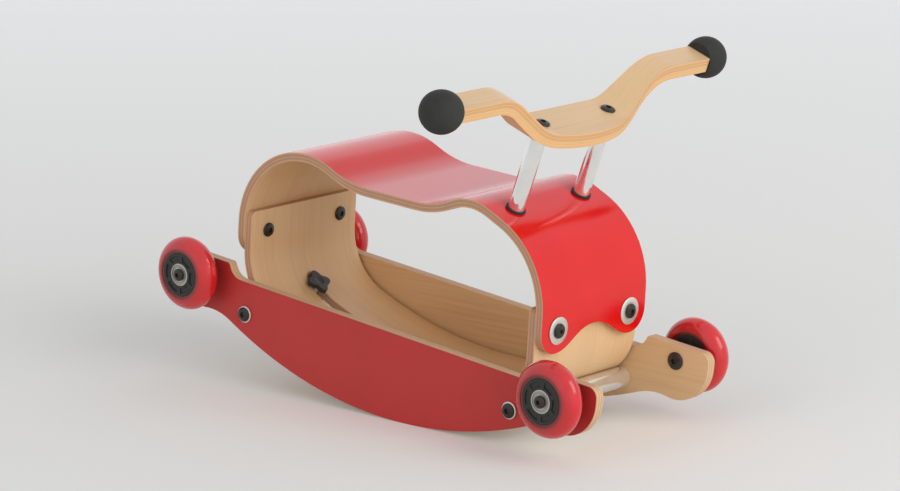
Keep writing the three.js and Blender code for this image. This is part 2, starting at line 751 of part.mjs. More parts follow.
function wheel(end, side) {
  const axleEnd = wheelTo - axleInset;
  const sleeve = [
    [0, axleEnd - axleThreadDepth],
    [axleThreadRadius + boltClearance, axleEnd - axleThreadDepth],
    [axleThreadRadius + boltClearance, axleEnd],
    [axleRadius, axleEnd],
    [axleRadius, -panelThickness - fitGap],
    ...domedHead(axleHeadRadius, axleHeadHeight).map(([r, z]) => [r, -panelThickness - fitGap - z]),
  ].reverse();
  const screwSeat = wheelTo + fitGap;
  const screw = [
    [0, wheelTo - axleScrewReach],
    [axleThreadRadius, wheelTo - axleScrewReach],
    [axleThreadRadius, screwSeat],
    ...domedHead(axleScrewHeadRadius, axleScrewHeadHeight).map(([r, z]) => [r, z + screwSeat]),
  ];
  const spacer = ringProfile(axleHoleRadius, spacerRadius, fitGap, wheelFrom - fitGap);
  const name = (part) => `${part}_${end}_${side}`;
  const bearing = (from) => {
    return turned(ringProfile(bearingBore, bearingRadius, from, from + bearingWidth), ringFacets);
  };
  return [
    piece(name('axle_sleeve'), turned(sleeve, boltFacets), blackSteel),
    piece(name('axle_screw'), turned(screw, boltFacets), blackSteel),
    piece(name('wheel_spacer'), turned(spacer, boltFacets), silver),
    piece(name('tyre'), turned(tyreProfile(), tyreFacets), redTyre),
    piece(name('wheel_core'), wheelCore(), blackPlastic),
    piece(name('inner_bearing'), bearing(wheelFrom), silver),
    piece(name('outer_bearing'), bearing(wheelTo - bearingWidth), silver),
  ].map((mesh) => place(mesh, outward(side, ends[end] * axleX, 0)));
}

// ---- Posts and handlebar ---------------------------------------------------------------------------

// Built in a frame with its origin on the shell between the posts and Z along the posts.
function posts() {
  const toShell = steeringFrame.clone().invert();
  const under = insideShell(fitGap).transform(toShell.elements);
  const ringTop = insideShell(fitGap + ringHeight).transform(toShell.elements);
  const inside = insideShell(-shellThickness - fitGap).transform(toShell.elements);
  const barSeat = postLength + fitGap + barThickness + fitGap;
  return Object.entries(sides).flatMap(([side, sign]) => {
    const at = new THREE.Matrix4().makeTranslation(0, sign * postY, 0);
    const local = (geometry) => solid(geometry, at);
    const post = withoutAll(local(rod(postRadius, -postRadius, postLength, ringFacets)), [
      under,
      local(rod(holeRadius, -postRadius, postHoleDepth)),
      local(rod(holeRadius, postLength - postHoleDepth, postLength + overrun)),
    ]);
    const ringTube = ringProfile(postRadius + fitGap, ringRadius, -postRadius, postRadius);
    const ring = local(turned(ringTube, ringFacets));
    const saddle = local(rod(saddleRadius, -shellThickness - saddleHeight, 0)).intersect(inside);
    const headFrom = shellThickness + saddleHeight - solidOverlap;
    const baseBolt = [
      ...domedHead(boltHeadRadius, boltHeadHeight).map(([r, z]) => [r, -headFrom - z]).reverse(),
      [boltRadius, -headFrom],
      [boltRadius, postBoltReach],
      [0, postBoltReach],
    ];
    const bolt = local(turned(baseBolt, boltFacets));
    const topBolt = [
      [0, postLength - postBoltReach],
      [boltRadius, postLength - postBoltReach],
      [boltRadius, barSeat],
      ...domedHead(boltHeadRadius, boltHeadHeight).map(([r, z]) => [r, z + barSeat]),
    ];
    return [
      piece(`post_${side}`, geometryOf(post), chrome),
      piece(`post_ring_${side}`, geometryOf(ring.intersect(ringTop).subtract(under)), blackRubber),
      piece(`post_base_bolt_${side}`, geometryOf(saddle.add(bolt)), blackSteel),
      piece(`handlebar_bolt_${side}`, turned(topBolt, boltFacets).applyMatrix4(at), blackSteel),
    ];
  });
}

const gripY = gripSpan / 2 - gripRadius;
const barEndY = gripY - barEndInset;
const barUnder = postLength + fitGap;
const barTop = barUnder + barThickness;

function handlebar() {
  const front = roundedLine([
    [-barEndY, barTop + barRise],
    [-barShoulderY, barTop + barRise, barOuterRadius],
    [-barFlatHalf, barTop, barInnerRadius],
    [barFlatHalf, barTop, barInnerRadius],
    [barShoulderY, barTop + barRise, barOuterRadius],
    [barEndY, barTop + barRise],
  ]);
  const plan = roundedLine([
    [barBack, barEndY],
    [barBack, -barEndY, 0],
    [barFront, -barEndY, 0],
    [barFront, -barFlankY, barFlankRadius],
    [barNose, 0, barNoseRadius],
    [barFront, barFlankY, barFlankRadius],
    [barFront, barEndY],
  ]);
  const bent = solid(alongX(bandShape(front, 0, -barThickness), barBack - overrun, barNose));
  const planShape = new THREE.Shape(cleaned(plan.map(({ point }) => point)));
  const cut = solid(upZ(planShape, barUnder - overrun, barTop + barRise + overrun));
  // Each bolt has its hole and a flat seat for its head, sunk where the bar begins to rise.
  const hole = rod(holeRadius, barUnder - overrun, barTop + overrun);
  const seat = rod(boltHeadRadius + fitGap, barTop, barTop + barRise);
  const holes = Object.values(sides).flatMap((side) => {
    const at = new THREE.Matrix4().makeTranslation(0, side * postY, 0);
    return [solid(hole, at), solid(seat, at)];
  });
  return piece('handlebar', geometryOf(withoutAll(bent.intersect(cut), holes)), birchPly);
}

function boxBetween(low, high) {
  const size = new THREE.Vector3().subVectors(high, low);
  const middle = new THREE.Vector3().addVectors(low, high).multiplyScalar(0.5);
  return new THREE.BoxGeometry(size.x, size.y, size.z).translate(middle.x, middle.y, middle.z);
}

function grips() {
  const middle = new THREE.Vector3((barBack + barFront) / 2, 0, barTop + barRise - barThickness / 2);
  const half = new THREE.Vector3((barFront - barBack) / 2, 0, barThickness / 2);
  const collarFrom = gripY - gripRadius - collarLength;
  const around = (wall, from, to) =>
    boxBetween(
      new THREE.Vector3(middle.x - half.x - wall, from, middle.z - half.z - wall),
      new THREE.Vector3(middle.x + half.x + wall, to, middle.z + half.z + wall),
    );
  const ball = new THREE.SphereGeometry(gripRadius, 20, 12).translate(middle.x, gripY, middle.z);
  const left = solid(ball)
    .add(solid(around(gripCollar, collarFrom, gripY)))
    .subtract(solid(around(fitGap, collarFrom - overrun, barEndY + fitGap)));
  return Object.entries(sides).map(([side, sign]) => {
    const body = sign > 0 ? left : left.mirror([0, 1, 0]);
    return piece(`grip_${side}`, geometryOf(body), blackRubber);
  });
}

// ---- Assembly --------------------------------------------------------------------------------------

const frame = new THREE.Group();
frame.add(...sidePanels(), crossTube('front'), crossTube('rear'));
for (const end of Object.keys(ends)) {
  for (const side of Object.keys(sides)) {
    const bolt = tubeBolt(`tube_bolt_${end}_${side}`);
    frame.add(place(bolt, outward(side, tubeAt[end].x, tubeAt[end].y)));
    frame.add(...wheel(end, side));
  }
}
frame.add(tray(), seatShell(), ...clamp());
for (const side of Object.keys(sides)) frame.add(rearJointBolt(side), ...eye(side));

const steering = place(new THREE.Group(), steeringFrame);
steering.add(...posts(), handlebar(), ...grips());
frame.add(steering);

// Turn the frame to its rest position and set it on Z = 0, centred over the origin.
frame.rotation.y = radians(restPitch);
frame.position.z = rockerRadius - (rockerRadius - rockerDepth) * Math.cos(radians(restPitch));
frame.updateMatrixWorld(true);
const bounds = new THREE.Box3().setFromObject(frame, true);
frame.position.x = -(bounds.min.x + bounds.max.x) / 2;
frame.position.z -= bounds.min.z;

const rockingHorse = new THREE.Group();
rockingHorse.add(frame);
export default rockingHorse;
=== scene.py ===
"""Rocking horse in bent plywood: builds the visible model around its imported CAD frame.

Run as a script, it makes every piece, the floor, the lights and the camera. All sizes are in metres.
"""
import math

import bpy
from mathutils import Matrix, Vector
from mathutils.bvhtree import BVHTree
from mathutils.geometry import area_tri, tessellate_polygon


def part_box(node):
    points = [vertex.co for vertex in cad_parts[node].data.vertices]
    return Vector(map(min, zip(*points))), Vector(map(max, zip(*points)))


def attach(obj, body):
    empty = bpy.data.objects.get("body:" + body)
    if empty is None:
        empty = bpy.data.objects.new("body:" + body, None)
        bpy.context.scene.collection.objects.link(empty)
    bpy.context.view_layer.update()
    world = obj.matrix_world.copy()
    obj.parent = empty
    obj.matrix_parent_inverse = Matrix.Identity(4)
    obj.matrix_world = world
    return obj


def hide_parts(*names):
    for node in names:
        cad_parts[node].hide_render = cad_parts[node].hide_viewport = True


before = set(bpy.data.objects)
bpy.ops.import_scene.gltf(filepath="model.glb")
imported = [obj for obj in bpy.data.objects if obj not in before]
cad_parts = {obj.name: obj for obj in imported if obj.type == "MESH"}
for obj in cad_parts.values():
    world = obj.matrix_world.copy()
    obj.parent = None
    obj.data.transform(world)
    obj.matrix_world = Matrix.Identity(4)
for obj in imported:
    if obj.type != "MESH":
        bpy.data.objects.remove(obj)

bl_info = {
    "name": "Rocking Horse",
    "version": (1, 0, 0),
    "blender": (4, 5, 0),
    "location": "3D View > Sidebar > Rocking Horse",
    "description": "Builds a plywood rocking horse with wheels, piece by piece",
    "category": "Add Mesh",
}

ENDS = ("front", "rear")
SIDES = ("left", "right")
CORNERS = [(end, side) for end in ENDS for side in SIDES]
BODY = "horse"
MERGE_DISTANCE = 1e-6


# ---- Settings ----


def number(name, description, default, unit="NONE", **more):
    return bpy.props.FloatProperty(name=name, description=description, default=default, unit=unit, **more)


def length(name, description, default):
    return number(name, description, default, "LENGTH", precision=5)


def angle(name, description, degrees):
    return number(name, description, math.radians(degrees), "ROTATION")


def lengths(name, description, *default):
    """A row of lengths: a place, or sizes that belong together."""
    return bpy.props.FloatVectorProperty(
        name=name, description=description, default=default, size=len(default), unit="LENGTH", precision=5
    )


def colour(name, description, red, green, blue):
    """A colour property, given as it looks on screen, from 0 to 255."""
    shown = tuple(((c / 255 + 0.055) / 1.055) ** 2.4 for c in (red, green, blue))
    return bpy.props.FloatVectorProperty(
        name=name, description=description, default=shown, subtype="COLOR", size=3, min=0.0, max=1.0
    )


class RockingHorseSizes(bpy.types.PropertyGroup):
    """Sizes of the visible detail."""

    rest_pitch: angle("Rest pitch", "How far the nose hangs down at rest", 6.0)
    upright_lean: angle("Upright lean", "How far the uprights of both sheets lean back", 2.0)
    post_lean: angle("Post lean", "How far the handlebar posts lean forward", 14.5)
    clamp_lean: angle("Clamp lean", "How far the clamp leans forward", 33.0)
    loop_middle: length("Loop middle", "Height of the middle of tray and shell", 0.13)
    sheet_thickness: length("Sheet thickness", "Thickness of the tray and of the seat shell", 0.0082)
    bar_thickness: length("Bar thickness", "Thickness of the handlebar", 0.014)
    panel_start: length("Panel start", "Distance from the middle to the panels' inner faces", 0.0775)
    panel_edge: length("Panel edge", "Rounding of the side panels' edges", 0.0013)
    sheet_edge: length("Sheet edge", "Rounding of the bent sheets' edges", 0.0008)
    bar_edge: length("Bar edge", "Rounding of the handlebar's edges", 0.0022)
    sheet_veneer: length("Sheet veneer", "Thickness of one veneer in the tray and the shell", 0.00164)
    stout_veneer: length("Stout veneer", "Thickness of one veneer in the handlebar and the panels", 0.00167)
    # Painted highlight: this depth of veneer at a bent sheet's faces is drawn paler on its cut edge,
    # standing in for light caught on the rounded edges.
    highlight_veneer: length("Highlight veneer", "Thickness of the painted highlight of a bent sheet", 0.0007)
    button: lengths("Button heads", "Radius, height and socket of the button heads", 0.007, 0.0028, 0.0029)
    washer: lengths("Panel washers", "Bore, radius and height of the panel washers", 0.0041, 0.00825, 0.0016)
    tube: lengths("Cross tubes", "Radius and bore of the cross tubes", 0.010, 0.0085)
    post_radius: length("Post radius", "Radius of the handlebar posts", 0.008)
    ring_share: number("Ring share", "Size of the rubber rings when squeezed", 0.94)
    dish: lengths("Knob dish", "Radius and depth of the dish in the star knob", 0.0048, 0.0010)
    tyre: lengths("Tyres", "Radius, width and bore of the tyres", 0.036, 0.024, 0.0215)
    rim: lengths("Tyre rims", "Width and depth of the flat ring of a tyre round its core", 0.0021, 0.0007)
    web: lengths("Webs", "Bore, gap round it and depth of the web in a wheel core", 0.0112, 0.0004, 0.0014)
    bearing: lengths("Bearings", "Bore, radius and width of the bearings", 0.004, 0.011, 0.007)
    shield: lengths("Shields", "Inner radius, outer radius and depth of the shields", 0.0072, 0.0095, 0.0007)
    eye: lengths("Eyes", "Bore and radius of the wide washers of the eyes", 0.0042, 0.0130)
    pupil_socket: number("Pupil socket", "Size of the sockets in the pupils, as a share of the others", 0.7)
    grip: lengths("Ball grips", "Radius, mouth and distance from middle to mouth", 0.020, 0.0157, 0.0135)
    axle_head: lengths("Axle heads", "Radius, height and socket of the axle heads", 0.0085, 0.0032, 0.0029)
    axle_cap: lengths("Axle caps", "Radius, height and socket of the axle screws", 0.006, 0.0032, 0.0023)
    barrel: lengths("Axle barrels", "Radius, length and inset of the axle barrels", 0.0037, 0.0405, 0.0033)
    spacer: lengths("Wheel spacers", "Bore and radius of the wheel spacers", 0.0041, 0.0062)


class RockingHorseColours(bpy.types.PropertyGroup):
    """Colours of the finishes."""

    birch: colour("Birch", "Face veneer, light tone", 237, 198, 150)
    birch_dark: colour("Birch grain", "Face veneer, dark tone", 218, 174, 126)
    ply_light: colour("Ply light", "Light veneers on the side panels' edges", 231, 195, 158)
    ply_dark: colour("Ply dark", "Dark veneers on the side panels' edges", 208, 168, 129)
    sheet_edge: colour("Sheet edge", "Light veneers on the bent sheets' edges", 213, 165, 131)
    glue: colour("Glue line", "Glue lines on a cut edge", 112, 74, 46)
    bar_edge: colour("Bar edge", "Light veneers on the handlebar's edge", 238, 188, 133)
    panel_red: colour("Panel red", "Matt paint on the side panels", 190, 50, 46)
    saddle_red: colour("Saddle red", "Gloss lacquer on the saddle", 226, 19, 18)
    tyre_red: colour("Tyre red", "Polyurethane of the tyres", 214, 32, 38)
    tyre_core: colour("Tyre core", "Polyurethane where it is thin, near the core", 74, 32, 32)
    black: colour("Black", "Black plastic of the star knob", 38, 38, 39)
    black_oxide: colour("Black oxide", "Blackened steel of bolts and screws", 66, 59, 52)
    rubber: colour("Rubber", "Rubber of grips and rings. The wheel cores are darker still", 52, 52, 49)
    steel: colour("Steel", "Zinc-plated steel. Tubes and bearings have tones of it", 220, 217, 208)
    chrome: colour("Chrome", "Chromed steel", 242, 242, 240)


class RockingHorseStage(bpy.types.PropertyGroup):
    """Camera, light and floor."""

    camera_place: lengths("Camera place", "Where the camera stands", 2.2804, -2.6014, 0.9173)
    camera_turn: bpy.props.FloatVectorProperty(
        name="Camera turn",
        description="How the camera is turned",
        default=(math.radians(77.508), math.radians(-0.022), math.radians(41.048)),
        subtype="EULER",
    )
    camera_lens: number("Lens", "Focal length in millimetres", 149.15, "CAMERA")
    floor_colour: colour("Floor", "Colour of the floor near the horse", 240, 239, 233)
    far_colour: colour("Far floor", "Colour of the floor far away", 252, 251, 251)
    floor_radius: length("Floor radius", "Radius of the round floor", 30.0)
    floor_spread: length("Floor spread", "Distance at which the floor has its far colour", 3.6)
    near_glow: number("Near glow", "How much paler the near floor looks", 0.085)
    far_glow: number("Far glow", "How much paler the far floor looks", 0.255)
    sky_colour: colour("Sky", "Colour of the surrounding light", 240, 243, 248)
    sky_strength: number("Sky strength", "Strength of the surrounding light", 0.46)
    shown_sky: number("Shown sky", "Strength of the surroundings as seen or mirrored", 1.0)
    key_place: lengths("Key place", "Where the main softbox stands", 2.45, 0.38, 1.6)
    key_size: lengths("Key size", "Width and height of the main softbox", 1.4, 1.5)
    key_aim: lengths("Key aim", "Where the main softbox looks", 0, 0, 0.12)
    key_power: number("Key power", "Power of the main softbox in watts", 18.5, "POWER")
    front_source: lengths("Front source", "Where the light in front comes from", 2.7, -0.6, 0.6)
    front_strength: number("Front strength", "Strength of the light in front", 1.36)
    side_source: lengths("Side source", "Where the light at the side comes from", -0.2, -2.8, 0.9)
    side_strength: number("Side strength", "Strength of the light at the side", 0.55)
    back_source: lengths("Back source", "Where the light behind comes from", -1.9, 2.2, 0.9)
    back_strength: number("Back strength", "Strength of the light behind", 0.12)
    light_spread: angle("Light spread", "How wide the lights in front, at the side and behind are", 42.0)


def sizes():
    return bpy.context.scene.rocking_horse_sizes


def colours():
    return bpy.context.scene.rocking_horse_colours


# ---- Materials ----


def is_number(value):
    return isinstance(value, (int, float))


class Tree:
    """A node tree that is put together from left to right."""

    def __init__(self, tree):
        self.tree = tree

    def add(self, kind, **settings):
        node = self.tree.nodes.new(kind)
        for key, value in settings.items():
            setattr(node, key, value)
        return node

    def link(self, source, target):
        self.tree.links.new(source, target)

    def math(self, operation, a, b=0.0, clamp=False):
        node = self.add("ShaderNodeMath", operation=operation, use_clamp=clamp)
        for socket, value in zip(node.inputs, (a, b)):
            if is_number(value):
                socket.default_value = value
            else:
                self.link(value, socket)
        return node.outputs["Value"]

    def times(self, a, b):
        return self.math("MULTIPLY", a, b)

    def plus(self, a, b):
        return self.math("ADD", a, b)

    def between(self, fac, low, high):
        """`low` where `fac` is 0, and `high` where it is 1."""
        spread = self.add("ShaderNodeMapRange")
        spread.inputs["To Min"].default_value = low
        spread.inputs["To Max"].default_value = high
        self.link(fac, spread.inputs["Value"])
        return spread.outputs["Result"]

    def seen(self):
        """1 for what is seen, mirrored or looked at through something clear, and 0 for light alone."""
        rays = self.add("ShaderNodeLightPath")
        seen = self.math("MAXIMUM", rays.outputs["Is Camera Ray"], rays.outputs["Is Glossy Ray"])
        return self.math("MAXIMUM", seen, rays.outputs["Is Transmission Ray"])


class Nodes(Tree):
    """A material that is put together from nodes."""

    def __init__(self, name):
        self.material = bpy.data.materials.new(name)
        self.material.use_nodes = True
        super().__init__(self.material.node_tree)
        self.shader = self.tree.nodes["Principled BSDF"]
        self.coordinates = self.add("ShaderNodeTexCoord").outputs["Object"]

    def value(self, socket, value):
        """Sets a socket of the shader to one number or colour all over."""
        self.shader.inputs[socket].default_value = value if is_number(value) else (*value, 1.0)

    def noise(self, scale, detail=3.0, roughness=0.55, distortion=0.0):
        """Noise in the piece's own space. `scale` is one number, or one for each axis."""
        mapping = self.add("ShaderNodeMapping")
        mapping.inputs["Scale"].default_value = (scale,) * 3 if is_number(scale) else scale
        self.link(self.coordinates, mapping.inputs["Vector"])
        noise = self.add("ShaderNodeTexNoise")
        noise.inputs["Scale"].default_value = 1.0
        noise.inputs["Detail"].default_value = detail
        noise.inputs["Roughness"].default_value = roughness
        noise.inputs["Distortion"].default_value = distortion
        self.link(mapping.outputs["Vector"], noise.inputs["Vector"])
        return noise.outputs["Fac"]

    def ramp(self, fac, *stops):
        """Stops are (place, value) or (place, colour)."""
        ramp = self.add("ShaderNodeValToRGB")
        ramp.color_ramp.elements[0].position = stops[0][0]
        ramp.color_ramp.elements[1].position = stops[-1][0]
        while len(ramp.color_ramp.elements) < len(stops):
            ramp.color_ramp.elements.new(0.5)
        for element, (place, value) in zip(ramp.color_ramp.elements, stops):
            element.position = place
            element.color = (value, value, value, 1.0) if is_number(value) else (*value, 1.0)
        self.link(fac, ramp.inputs["Fac"])
        return ramp.outputs["Color"]

    def mix(self, fac, a, b):
        """Colour `a` where `fac` is 0, and colour `b` where it is 1."""
        node = self.add("ShaderNodeMix", data_type="RGBA")
        values = {("Factor", "VALUE"): fac, ("A", "RGBA"): a, ("B", "RGBA"): b}
        for socket in node.inputs:
            value = values.get((socket.name, socket.type))
            if isinstance(value, bpy.types.NodeSocket):
                self.link(value, socket)
            elif value is not None:
                socket.default_value = (*value, 1.0)
        return next(out for out in node.outputs if out.type == "RGBA")

    def bump(self, height, distance, strength):
        bump = self.add("ShaderNodeBump")
        bump.inputs["Strength"].default_value = strength
        bump.inputs["Distance"].default_value = distance
        self.link(height, bump.inputs["Height"])
        self.link(bump.outputs["Normal"], self.shader.inputs["Normal"])

    def colour_from(self, socket):
        self.link(socket, self.shader.inputs["Base Color"])

    def roughness_between(self, fac, low, high):
        self.link(self.between(fac, low, high), self.shader.inputs["Roughness"])


def scaled(value, factor):
    return tuple(min(1.0, c * factor) for c in value)


def birch_face(name, along, tone):
    """Clear-varnished birch veneer. `along` holds the pattern's scale on each axis, low along the grain."""
    made = Nodes(name)
    paint = colours()
    fibres = made.noise(along, 5.0, 0.6)
    fine = made.noise([3.2 * a for a in along], 3.0, 0.7)
    clouds = made.noise([0.05 * a + 3.0 for a in along], 2.0, 0.5, 0.3)
    grain = made.plus(made.times(fibres, 0.45), made.times(fine, 0.30))
    grain = made.plus(grain, made.times(clouds, 0.25))
    dark, light = scaled(paint.birch_dark, tone), scaled(paint.birch, tone)
    base = made.ramp(grain, (0.30, dark), (0.50, scaled(light, 0.96)), (0.66, light))
    flecks = made.ramp(made.noise([0.7 * a + 20 for a in along], 2.0, 0.5), (0.70, 0.0), (0.76, 1.0))
    made.colour_from(made.mix(made.times(flecks, 0.16), base, scaled(dark, 0.72)))
    made.roughness_between(fine, 0.32, 0.46)
    made.value("Specular IOR Level", 0.5)
    made.bump(fine, 0.00005, 0.4)
    return made.material


def ply_edge(name, along, light, dark, veneer, glue_weight, start=None):
    """Cut edge of plywood: veneers with thin glue lines.

    Without `start`, the depth is read from the piece's own attribute, and a painted highlight makes the wood
    paler in the outermost veneer and below the last veneer of a bent sheet, where its rounded edges catch
    light. With it, the depth is the distance along Y from there.
    """
    made = Nodes(name)
    if start is None:
        layer = made.add("ShaderNodeAttribute", attribute_name="ply_depth").outputs["Fac"]
    else:
        separate = made.add("ShaderNodeSeparateXYZ")
        made.link(made.coordinates, separate.inputs["Vector"])
        layer = made.math("SUBTRACT", made.math("ABSOLUTE", separate.outputs["Y"]), start)
    waver = made.times(made.math("SUBTRACT", made.noise(30), 0.5), 0.0004)
    count = made.math("DIVIDE", made.plus(layer, waver), veneer)
    line = made.ramp(made.math("FRACT", count), (0.0, 1.0), (0.14, 0.0), (0.86, 0.0), (1.0, 1.0))
    uneven = made.add("ShaderNodeTexWhiteNoise", noise_dimensions="1D")
    made.link(made.math("ROUND", count), uneven.inputs["W"])
    weight = made.plus(0.45, made.times(uneven.outputs["Value"], 0.75))
    line = made.math("MULTIPLY", line, weight, clamp=True)
    odd = made.math("GREATER_THAN", made.math("FRACT", made.times(count, 0.5)), 0.5)
    streaks = made.noise(along, 4.0, 0.65)
    toned = made.mix(odd, light, dark)
    if start is None:
        # Painted highlight: the veneer at each face of a bent sheet is drawn paler, in place of light caught
        # on the rounded edges.
        skin = sizes().highlight_veneer
        back = made.math("GREATER_THAN", layer, sizes().sheet_thickness - skin)
        painted_highlight = made.plus(made.math("LESS_THAN", layer, skin), back)
        toned = made.mix(made.math("MULTIPLY", painted_highlight, 0.6, clamp=True), toned, scaled(light, 1.25))
    streaked = made.mix(made.times(streaks, 0.4), toned, scaled(dark, 0.88))
    made.colour_from(made.mix(made.times(line, glue_weight), streaked, colours().glue))
    made.roughness_between(streaks, 0.5, 0.66)
    made.value("Specular IOR Level", 0.3)
    made.bump(made.plus(streaks, made.times(line, -0.8)), 0.00006, 0.5)
    return made.material


def painted_ply(name, shade, rough, along, relief):
    """Paint on veneer, with the grain just showing through."""
    made = Nodes(name)
    grain = made.noise(along, 4.0, 0.6)
    pores = made.ramp(made.noise([2.3 * a for a in along], 2.0, 0.5), (0.58, 0.0), (0.78, 1.0))
    base = made.ramp(made.noise(14, 2.0, 0.5), (0.30, scaled(shade, 0.96)), (0.70, scaled(shade, 1.03)))
    made.colour_from(made.mix(made.times(pores, 0.5 * relief), base, scaled(shade, 0.8)))
    made.roughness_between(grain, rough * 0.9, rough * 1.1)
    height = made.plus(made.times(grain, 0.6), made.times(pores, -0.4))
    made.bump(height, 0.00005, relief)
    return made.material


def polyurethane(name):
    """Cast polyurethane, clear enough to look darker where it is thin, near the core."""
    made = Nodes(name)
    paint = colours()
    swirl = made.noise(55)
    cast = made.ramp(swirl, (0.34, scaled(paint.tyre_red, 0.93)), (0.68, scaled(paint.tyre_red, 1.06)))
    reach = made.add("ShaderNodeAttribute", attribute_name="wheel_radius").outputs["Fac"]
    thin = made.ramp(reach, (0.0, 1.0), (0.09, 0.62), (0.26, 0.22), (0.70, 0.10), (1.0, 0.0))
    made.colour_from(made.mix(made.times(thin, 0.85), cast, paint.tyre_core))
    made.roughness_between(swirl, 0.15, 0.24)
    made.value("Coat Weight", 0.4)
    made.value("Coat Roughness", 0.08)
    made.bump(made.noise(700, 2.0, 0.5), 0.00001, 0.4)
    return made.material


def moulded(name, shade, low, high, grain, relief, specular=0.5):
    """Moulded plastic or rubber with a fine skin, from `low` to `high` in roughness."""
    made = Nodes(name)
    skin = made.noise(grain, 3.0, 0.6)
    worn = made.noise(60, 3.0, 0.6)
    made.colour_from(made.ramp(worn, (0.34, scaled(shade, 0.88)), (0.68, scaled(shade, 1.12))))
    made.roughness_between(worn, low, high)
    made.value("Specular IOR Level", specular)
    made.bump(skin, relief, 0.5)
    return made.material


def metal(name, shade, low, high, grain, relief, metallic=1.0):
    """Plated or blackened steel with fine turning marks, from `low` to `high` in roughness."""
    made = Nodes(name)
    marks = made.noise(grain, 4.0, 0.65)
    smears = made.noise(45, 2.0, 0.5)
    made.colour_from(made.ramp(smears, (0.30, scaled(shade, 0.92)), (0.70, scaled(shade, 1.05))))
    made.value("Metallic", metallic)
    made.roughness_between(smears, low, high)
    made.bump(marks, relief, 0.35)
    return made.material


_materials = {}


def finish(name):
    """The material of that name, made when it is first asked for."""
    size, paint = sizes(), colours()
    sheet_dark, bar_dark = scaled(paint.sheet_edge, 0.74), scaled(paint.bar_edge, 0.86)
    panel_tones = (paint.ply_light, paint.ply_dark)
    oxide, bright = scaled(paint.black_oxide, 0.6), scaled(paint.steel, 1.15)
    recipes = {
        "birch_sheet": lambda: birch_face("Birch sheet", (5, 620, 5), 0.96),
        "birch_panel": lambda: birch_face("Birch panel", (6, 60, 480), 0.95),
        "birch_bar": lambda: birch_face("Birch bar", (520, 5, 60), 0.96),
        "sheet_edge": lambda: ply_edge(
            "Sheet edge", (90, 90, 90), paint.sheet_edge, sheet_dark, size.sheet_veneer, 0.46
        ),
        "bar_edge": lambda: ply_edge(
            "Bar edge", (60, 20, 160), paint.bar_edge, bar_dark, size.stout_veneer, 0.50
        ),
        "panel_edge": lambda: ply_edge(
            "Panel edge", (40, 300, 40), *panel_tones, size.stout_veneer, 0.26, size.panel_start
        ),
        "panel_paint": lambda: painted_ply("Panel paint", paint.panel_red, 0.50, (7, 60, 240), 0.30),
        "saddle_lacquer": lambda: painted_ply("Saddle lacquer", paint.saddle_red, 0.17, (6, 420, 6), 0.10),
        "tyre": lambda: polyurethane("Tyre polyurethane"),
        "core": lambda: moulded("Core plastic", scaled(paint.rubber, 0.66), 0.40, 0.52, 1400, 0.00003, 0.4),
        "knob": lambda: moulded("Knob plastic", scaled(paint.black, 1.3), 0.38, 0.50, 1500, 0.00004),
        "rubber": lambda: moulded("Grip rubber", paint.rubber, 0.62, 0.76, 1700, 0.00008, 0.25),
        "black_steel": lambda: metal("Black oxide steel", oxide, 0.20, 0.30, 1500, 0.00002, 0.3),
        "steel": lambda: metal("Zinc plated steel", paint.steel, 0.40, 0.52, 1300, 0.00002, 0.75),
        "satin_tube": lambda: metal("Satin steel tube", bright, 0.16, 0.24, 1100, 0.00001, 0.78),
        "ring_steel": lambda: metal("Bearing rings", scaled(paint.steel, 0.72), 0.28, 0.40, 1300, 0.00002),
        "shield": lambda: metal("Bearing shields", scaled(paint.steel, 0.50), 0.34, 0.46, 1300, 0.00002),
        "chrome": lambda: metal("Chrome", paint.chrome, 0.05, 0.09, 600, 0.000004),
    }
    if name not in _materials:
        _materials[name] = recipes[name]()
    return _materials[name]


# ---- Modelling helpers ----


def deselect():
    if bpy.context.object and bpy.context.object.mode != "OBJECT":
        bpy.ops.object.mode_set(mode="OBJECT")
    bpy.ops.object.select_all(action="DESELECT")


def activate(piece):
    deselect()
    piece.select_set(True)
    bpy.context.view_layer.objects.active = piece


def edit(piece):
    activate(piece)
    bpy.ops.object.mode_set(mode="EDIT")
    bpy.ops.mesh.select_all(action="SELECT")


def leave_edit():
    bpy.ops.object.mode_set(mode="OBJECT")


def apply_modifier(piece, kind, **settings):
    activate(piece)
    modifier = piece.modifiers.new(kind.title(), kind)
    for key, value in settings.items():
        setattr(modifier, key, value)
    bpy.ops.object.modifier_apply(modifier=modifier.name)


def copy_of(node, name):
    """A merged copy of a CAD node, with each flat face in one piece."""
    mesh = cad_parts[node].data.copy()
    piece = bpy.data.objects.new(name, mesh)
    bpy.context.scene.collection.objects.link(piece)
    mesh.materials.clear()
    activate(piece)
    if mesh.has_custom_normals:
        bpy.ops.mesh.customdata_custom_splitnormals_clear()
    edit(piece)
    bpy.ops.mesh.remove_doubles(threshold=MERGE_DISTANCE)
    bpy.ops.mesh.dissolve_limited(angle_limit=math.radians(0.3))
    leave_edit()
    return piece


def duplicate(piece, name):
    twin = piece.copy()
    twin.data = piece.data.copy()
    twin.name = name
    bpy.context.scene.collection.objects.link(twin)
    return twin


def soften(piece, width, segments=3, sharper_than=40.0, split=True):
    """Rounds the sharp edges, and keeps the flat faces flat."""
    limit = math.radians(sharper_than)
    apply_modifier(piece, "BEVEL", width=width, segments=segments, limit_method="ANGLE", angle_limit=limit)
    if split:
        apply_modifier(piece, "TRIANGULATE", quad_method="BEAUTY", ngon_method="BEAUTY", min_vertices=5)
    smooth(piece)
    apply_modifier(piece, "WEIGHTED_NORMAL", keep_sharp=True, weight=60)


def smooth(piece, degrees=38.0):
    activate(piece)
    bpy.ops.object.shade_smooth_by_angle(angle=math.radians(degrees))


